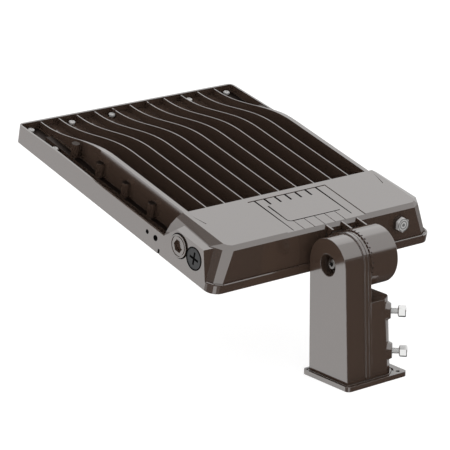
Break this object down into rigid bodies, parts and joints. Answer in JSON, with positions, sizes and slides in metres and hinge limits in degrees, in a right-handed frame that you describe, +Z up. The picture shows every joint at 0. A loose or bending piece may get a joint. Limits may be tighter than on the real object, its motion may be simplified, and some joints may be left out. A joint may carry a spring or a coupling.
{
  "type": "shoebox area light",
  "caption": "Rectangular outdoor area light: finned head with rear driver housing, tilting knuckle, and a two-part slip fitter arm that clamps a pole tenon.",
  "frame": {"origin": "centre of the pole tenon socket at the underside of the base flange", "axes": "+Y towards the head's front edge, +Z up out of the pole, +X towards the arm's right half"},
  "size_m": [0.372, 0.5357, 0.2669],
  "materials": {
    "bronze_paint": "satin",
    "steel": "satin",
    "black_rubber": "matte",
    "grey_plastic": "matte",
    "clear_lens": "gloss",
    "white_board": "satin",
    "driver_case": "satin",
    "bare_aluminium": "satin",
    "dark_plastic": "satin",
    "ivory_plastic": "satin",
    "black_insulation": "satin"
  },
  "bodies": {
    "slip_fitter": {"arm_left": "bronze_paint", "arm_right": "bronze_paint", "base_flange": "bronze_paint", "seam_gasket": "black_rubber", "seam_screws": "steel", "flange_screws": "steel", "cable_grommet": "black_rubber", "tilt_washer": "steel"},
    "head": {"heat_sink_body": "bronze_paint", "driver_door": "bronze_paint", "optic_frame": "bronze_paint", "ring_plug": "bronze_paint", "knuckle": "bronze_paint", "knuckle_cap": "bronze_paint", "door_screws": "steel", "frame_screws": "steel", "tray_screws": "steel", "hex_plug": "steel", "knuckle_screws": "steel", "nut_washer": "steel", "tilt_nut": "steel", "door_gasket": "black_rubber", "lens_gaskets": "black_rubber", "ring_plug_seal": "black_rubber", "hex_plug_washer": "black_rubber", "knuckle_gasket": "black_rubber", "cross_plug": "grey_plastic", "lens_front_left": "clear_lens", "lens_front_right": "clear_lens", "lens_rear_left": "clear_lens", "lens_rear_right": "clear_lens", "led_board_left": "white_board", "led_board_right": "white_board", "led_driver": "driver_case", "driver_tray": "bare_aluminium", "surge_protector": "dark_plastic", "terminal_block": "ivory_plastic", "board_leads": "black_insulation", "driver_leads": "black_insulation"},
    "tilt_bolt": {"tilt_bolt": "steel"},
    "clamp_bolt_front_low": {"clamp_bolt_front_low": "steel"},
    "clamp_bolt_front_high": {"clamp_bolt_front_high": "steel"},
    "clamp_bolt_rear_low": {"clamp_bolt_rear_low": "steel"},
    "clamp_bolt_rear_high": {"clamp_bolt_rear_high": "steel"}
  },
  "joints": [
    {"name": "head_tilt", "type": "hinge", "parent": "slip_fitter", "child": "head", "pos_m": [0, 0.0035, 0.1565], "axis": [1, 0, 0], "range_deg": [-14, 76]},
    {"name": "tilt_bolt_turn", "type": "hinge", "parent": "slip_fitter", "child": "tilt_bolt", "pos_m": [0, 0.0035, 0.1565], "axis": [1, 0, 0], "range_deg": [-180, 0]},
    {"name": "clamp_bolt_front_low_travel", "type": "slide", "parent": "slip_fitter", "child": "clamp_bolt_front_low", "axis": [-0.7071, -0.7071, 0], "range_m": [-0.004, 0.008]},
    {"name": "clamp_bolt_front_high_travel", "type": "slide", "parent": "slip_fitter", "child": "clamp_bolt_front_high", "axis": [-0.7071, -0.7071, 0], "range_m": [-0.004, 0.008]},
    {"name": "clamp_bolt_rear_low_travel", "type": "slide", "parent": "slip_fitter", "child": "clamp_bolt_rear_low", "axis": [-0.7071, 0.7071, 0], "range_m": [-0.004, 0.008]},
    {"name": "clamp_bolt_rear_high_travel", "type": "slide", "parent": "slip_fitter", "child": "clamp_bolt_rear_high", "axis": [-0.7071, 0.7071, 0], "range_m": [-0.004, 0.008]}
  ]
}
